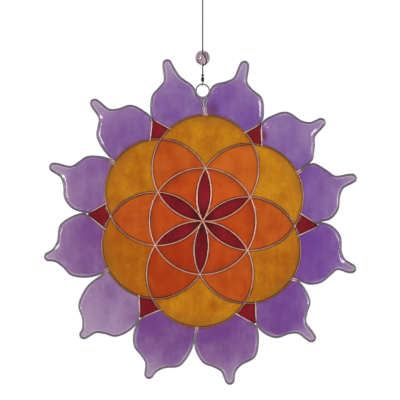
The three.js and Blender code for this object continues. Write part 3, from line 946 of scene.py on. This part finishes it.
def pane(name, nodes, outline, spine, height, material, slot, tone, freedom=None):
    """A pane's height comes from its place, its distance from the wire, and how free its edge is there."""
    bm = bmesh.new()
    rim, tones, free = (bm.verts.layers.float.new(layer) for layer in ("rim", "tone", "free"))
    verts, edges = closed_line(bm, [in_part(point) for point in outline])
    for n, vert in enumerate(verts):
        vert[tones] = tone
        vert[free] = freedom[n] if freedom else 0.0

    def draw_in(edges, goal):
        """Grows the edge by one step: each new vertex goes on along its own line to the spine."""
        grown = bmesh.ops.extrude_edge_only(bm, edges=edges)
        for vert in new_parts(grown, bmesh.types.BMVert):
            here = Vector((vert.co.x / MM, vert.co.z / MM + ROSETTE_DROP))
            target = nearest_on(spine, here)
            gone = vert[rim]
            left = (target - here).length
            reached = max(goal(gone + left), gone)
            place = here.lerp(target, (reached - gone) / left) if left > ARRIVED else here
            stir = noise.noise(Vector((*place, WAVE_SLICE)) * WAVES_PER_MM)
            wave = WAVE * stir * min(1.0, reached / WAVE_FADE)
            vert[rim] = reached
            vert.co = in_part(place, -height(place, reached, vert[free]) - wave)
        return new_parts(grown, bmesh.types.BMEdge)

    edges = draw_in(edges, lambda whole: 0.0)
    for distance in STEPS_IN:
        edges = draw_in(edges, lambda whole: min(distance, MOST_DRAWN * whole))
    for share in INNER_SHARES:
        edges = draw_in(edges, lambda whole: share * whole)
    bmesh.ops.contextual_create(bm, geom=edges)
    whole_front = bm.verts[:] + bm.edges[:] + bm.faces[:]
    bmesh.ops.mirror(bm, geom=whole_front, axis="Y", merge_dist=MIRROR_WITHIN)
    for vert in bm.verts:
        if vert.co.y > 0:
            vert.co.y *= BACK_SHARE
    return finish_mesh(name, bm, material, slot, *nodes)


# Outlines of panes, from arcs of circles; a circle is a centre and a radius
ARC_STEP = 1.3


def crossing(one, two, near):
    """The crossing of two circles that lies nearer to a point."""
    apart = two[0] - one[0]
    along = (apart.length ** 2 + one[1] ** 2 - two[1] ** 2) / (2 * apart.length)
    across = math.sqrt(one[1] ** 2 - along ** 2)
    ahead = apart.normalized()
    side = Vector((-ahead.y, ahead.x)) * across
    foot = one[0] + ahead * along
    return min((foot + side, foot - side), key=lambda point: (point - near).length)


def within(centre):
    return centre, RING - RIM_INSET


def beyond(centre):
    return centre, RING + RIM_INSET


def arc(circle, start, end):
    """The shorter arc of a circle between two points, without its last point."""
    centre, radius = circle
    begin = math.atan2(start.y - centre.y, start.x - centre.x)
    finish = math.atan2(end.y - centre.y, end.x - centre.x)
    turn = math.remainder(finish - begin, 2 * math.pi)
    steps = max(2, round(abs(turn) * radius / ARC_STEP))
    return [centre + polar(math.degrees(begin + turn * n / steps), radius) for n in range(steps)]


def arcs(edges, corners):
    """An outline of arcs: each corner is the crossing of one edge with the next, near a given point."""
    count = len(edges)
    points = [crossing(edges[n], edges[(n + 1) % count], corners[n]) for n in range(count)]
    outline = []
    for n in range(count):
        outline += arc(edges[n], points[n - 1], points[n])
    return outline


# Panes of the rosette, four to a lobe; spines are reaches from the middle of the rosette
SEED_TONES = (0.66, 0.48, 0.6, 0.42, 0.6, 0.66)
ORANGE_TONES = (0.48, 0.48, 0.2, 0.45, 0.48, 0.68)
YELLOW_TONES = (0.42, 0.36, 0.2, 0.4, 0.33, 0.52)
SEED_SPINE = (8, RING - 8)
INNER_ORANGE_SPINE = (14, 27)
OUTER_ORANGE_SPINE = (46, 52)
YELLOW_SPINE = ((-22, 61), (0, 57), (22, 61))  # degrees from the lobe's direction, and reach
middle = Vector((0, 0))
for k in range(LOBES):
    here, after, before, second_after = (lobe_centre(n) for n in (k, k + 1, k - 1, k + 2))
    number = k + 1
    along = lobe_angle(k)
    between = along + LOBE_STEP / 2
    pane(
        f"seed_pane_{number}", [f"seed_petal_{number}"],
        arcs([within(after), within(before)], [middle, here]),
        [polar(along, reach) for reach in SEED_SPINE],
        level_height, glass["seed_glass"], "seed_glass", SEED_TONES[k],
    )
    pane(
        f"inner_orange_pane_{number}", [f"inner_orange_{number}"],
        arcs([beyond(before), within(middle), beyond(second_after)], [here, after, notch(k)]),
        [polar(between, reach) for reach in INNER_ORANGE_SPINE],
        level_height, glass["inner_orange_glass"], "orange_glass", ORANGE_TONES[k],
    )
    pane(
        f"outer_orange_pane_{number}", [f"outer_orange_{number}"],
        arcs([beyond(middle), within(here), within(after)], [after, notch(k), here]),
        [polar(between, reach) for reach in OUTER_ORANGE_SPINE],
        level_height, glass["outer_orange_glass"], "orange_glass", ORANGE_TONES[k],
    )
    pane(
        f"yellow_pane_{number}", [f"yellow_lobe_{number}"],
        arcs([beyond(before), beyond(after), within(here)], [here, notch(k), notch(k - 1)]),
        [polar(along + turn, reach) for turn, reach in YELLOW_SPINE],
        level_height, glass["yellow_glass"], "yellow_glass", YELLOW_TONES[k],
    )


def beside_run(run, distance):
    """The run moved to its left by a distance."""
    moved = []
    for n, point in enumerate(run):
        ahead = heading(run, n)
        moved.append(point + Vector((-ahead.y, ahead.x)) * distance)
    return moved


def outside(points, circle):
    return [point for point in points if (point - circle[0]).length > circle[1] + RIM_INSET]


def on_circle(circle, point):
    return circle[0] + (point - circle[0]).normalized() * circle[1]


def dome_over(lobe, high):
    """Heights of a petal's pane: it rises from its lobe, round at free wires and sloped at shared ones."""
    def height(place, distance, free):
        top = min(high, LOW + RISE * max((place - lobe[0]).length - lobe[1], 0.0))
        top += (min(top, NIB_HIGH) - top) * soft_step((place.length - NIB_STARTS) / NIB_SINKS)
        rounded = top - (top - FREE_EDGE) * (1 - min(distance / FREE_RUN, 1.0)) ** 2
        sloped = LOW + (top - LOW) * soft_step(distance / HELD_RUN)
        return sloped + (rounded - sloped) * free
    return height


def freedom_at(i, point):
    """How free a petal's edge is at a point: not at all up to where it parts from its neighbours."""
    left_side = point.dot(polar(tip_angle_of(i) + 90, 1)) > 0
    j = i + 1 if left_side else i
    parting = eye_middle.length if is_top(j) else PARTINGS[j - 1][1]
    return soft_step((point.length - parting + FREE_BEFORE) / FREE_WITHIN)


# Purple panes of the petals; their spines bend from the petal's middle line into its nib
PETAL_SPINE = (84, 96)  # reaches of the spine's start and of its bend
SPINE_END = 3  # from the tip
for i, run in enumerate(petal_runs):
    lobe = beyond(lobe_centre(petal_lobe(i)))
    edge = outside(beside_run(run, RIM_INSET), lobe)
    first, last = on_circle(lobe, edge[0]), on_circle(lobe, edge[-1])
    by_lobe = [*arc(lobe, last, first), first]
    tip_angle = tip_angle_of(i)
    spine = [
        polar(middle_angle(i), PETAL_SPINE[0]),
        polar(tip_angle, PETAL_SPINE[1]),
        polar(tip_angle, PETALS[i].tip - SPINE_END),
    ]
    pane(
        f"purple_pane_{i + 1}", [f"purple_petal_{i + 1}"], edge + by_lobe, spine,
        dome_over(lobe, PETALS[i].high), purple_glass, "purple_glass", PETALS[i].pale,
        [freedom_at(i, point) for point in edge] + [0.0] * len(by_lobe),
    )

# Web of glass under the eye, between the top petals' wires
WEB_SPINE = (0.85, 0.2)  # shares of the stem from its top
WEB_TONE = 0.9
LOWER_STEPS = 2 * PETAL_RUN_STEPS  # of a petal wire's run, which hold its lower side
top_lobe = beyond(lobe_centre(0))
left, right = (
    outside(beside_run(run, away * RIM_INSET)[:LOWER_STEPS], top_lobe)
    for run, away in ((petal_runs[0], -1), (petal_runs[-1][::-1], 1))
)
foot_left, foot_right = on_circle(top_lobe, left[0]), on_circle(top_lobe, right[0])
under_eye = arc((eye_middle, EYE_RADIUS + EYE_WIRE / 2), left[-1], right[-1])
web_outline = [*left, *under_eye[1:], *right[::-1], *arc(top_lobe, foot_right, foot_left), foot_left]
web_spine = [stem_top.lerp(stem_foot, share) for share in WEB_SPINE]
pane("stem_web", [], web_outline, web_spine, level_height, purple_glass, "purple_glass", WEB_TONE)

# Red kites, between two lobes and the wires of two petals
KITE_SPINE = (68, 73)
KITE_TONE = 0.5
for k in range(LOBES):
    j = 2 * k + 1
    axis = polar(kite_angle(j), 1)
    end = min(KITE_TIP, PARTINGS[j - 1][1])
    lobes = [beyond(lobe_centre(k)), beyond(lobe_centre(k + 1))]
    runs = [beside_run(petal_runs[n % len(PETALS)], -RIM_INSET) for n in (j - 1, j)]
    right, left = (
        [point for point in outside(run[:LOWER_STEPS], lobe) if point.dot(axis) < end]
        for run, lobe in zip((runs[0][::-1], runs[1]), lobes)
    )
    corner = crossing(*lobes, notch(k))
    foot_right, foot_left = on_circle(lobes[0], right[0]), on_circle(lobes[1], left[0])
    by_lobes = [*arc(lobes[1], foot_left, corner), *arc(lobes[0], corner, foot_right), foot_right]
    pane(
        f"kite_pane_{k + 1}", [f"red_kite_{k + 1}"], [*right, *left[::-1], *by_lobes],
        [axis * reach for reach in KITE_SPINE], level_height, glass["kite_glass"], "red_glass", KITE_TONE,
    )

# Solder at the feet of the petal wires and where the rings cross; sizes are half sizes of a drop
FOOT_DROP = {"depth": -0.4, "length": 1.1, "width": 0.6, "thick": 0.75}
FOOT_DROP_ALONG = 0.5  # from the end of the petal wire
FOOT_AIM_STEPS = 3  # of the wire's run, which give its direction there
LOBE_DROP = {"depth": -0.1, "length": 1.15, "width": 1.0, "thick": 0.8}
NOTCH_DROP = {"depth": 0, "length": 0.95, "width": 0.8, "thick": 0.75}
DROP_SECTORS = 14
DROP_RINGS = 9
bm = bmesh.new()


def solder_drop(point, angle, depth, length, width, thick):
    place = Matrix.Translation(in_part(point, depth)) @ Matrix.Rotation(-math.radians(angle), 4, "Y")
    shape = place @ Matrix.Diagonal((length * MM, thick * MM, width * MM, 1))
    bmesh.ops.create_uvsphere(bm, u_segments=DROP_SECTORS, v_segments=DROP_RINGS, radius=1, matrix=shape)


for run in petal_runs:
    for way in (run, run[::-1]):
        ahead = way[FOOT_AIM_STEPS] - way[0]
        angle = math.degrees(math.atan2(ahead.y, ahead.x))
        solder_drop(way[0] + ahead.normalized() * FOOT_DROP_ALONG, angle, **FOOT_DROP)
for k in range(LOBES):
    solder_drop(lobe_centre(k), lobe_angle(k) + 90, **LOBE_DROP)
    solder_drop(notch(k), lobe_angle(k) + LOBE_STEP / 2, **NOTCH_DROP)
finish_mesh("solder_joints", bm, solder, "wire")

# Floor, in metres
FLOOR_DROP = 0.44
FLOOR_RADIUS = 0.42
FLOOR_SIDES = 96
FLOOR_FINISH = {"Base Color": (0.86, 0.86, 0.86, 1), "Roughness": 0.9}
bm = bmesh.new()
floor_place = Matrix.Translation((0, 0, -FLOOR_DROP))
bmesh.ops.create_circle(bm, cap_ends=True, segments=FLOOR_SIDES, radius=FLOOR_RADIUS, matrix=floor_place)
floor_paint, floor_tree, floor_shader = new_material("pale_floor")
set_inputs(floor_tree, floor_shader, FLOOR_FINISH)
floor = new_object("floor", bm, floor_paint)

# Studio lights, aimed at the middle of the rosette
SOFTBOXES = (
    # name, place, width and height in metres, and power in watts
    ("left_softbox", (-0.7, -0.85, -0.18), 0.3, 0.5, 10),
    ("right_softbox", (0.7, -0.85, -0.1), 0.3, 0.5, 10),
    ("back_left_softbox", (-0.9, 0.9, 0.2), 0.4, 0.8, 3),
    ("back_right_softbox", (0.9, 0.9, 0.2), 0.4, 0.8, 3),
    ("overhead_softbox", (0.0, 0.4, 0.8), 0.6, 0.6, 6),
)
for name, place, width, height, power in SOFTBOXES:
    light = bpy.data.lights.new(name, "AREA")
    light.shape = "RECTANGLE"
    light.size = width
    light.size_y = height
    light.energy = power
    stand = bpy.data.objects.new(name, light)
    stand.location = place
    aim = in_part((0, 0)) - Vector(place)
    stand.rotation_mode = "QUATERNION"
    stand.rotation_quaternion = aim.to_track_quat("-Z", "Y")
    scene.collection.objects.link(stand)

# A bright white surround, which shines through the panes but is dim in reflections
REFLECTED = 0.12
world = bpy.data.worlds.new("white_surround")
scene.world = world
world.use_nodes = True
surround = world.node_tree
background = surround.nodes["Background"]
background.inputs["Color"].default_value = (1, 1, 1, 1)
ray = add_node(surround, "LightPath")
rays = {0: ray.outputs["Is Camera Ray"], 1: ray.outputs["Is Transmission Ray"]}
seen = add_node(surround, "Math", rays, operation="MAXIMUM").outputs[0]
strength = add_node(surround, "MapRange", {"Value": seen, "To Min": REFLECTED, "To Max": 1.0})
surround.links.new(strength.outputs["Result"], background.inputs["Strength"])
world.cycles.sampling_method = "NONE"
scene.view_settings.view_transform = "Standard"
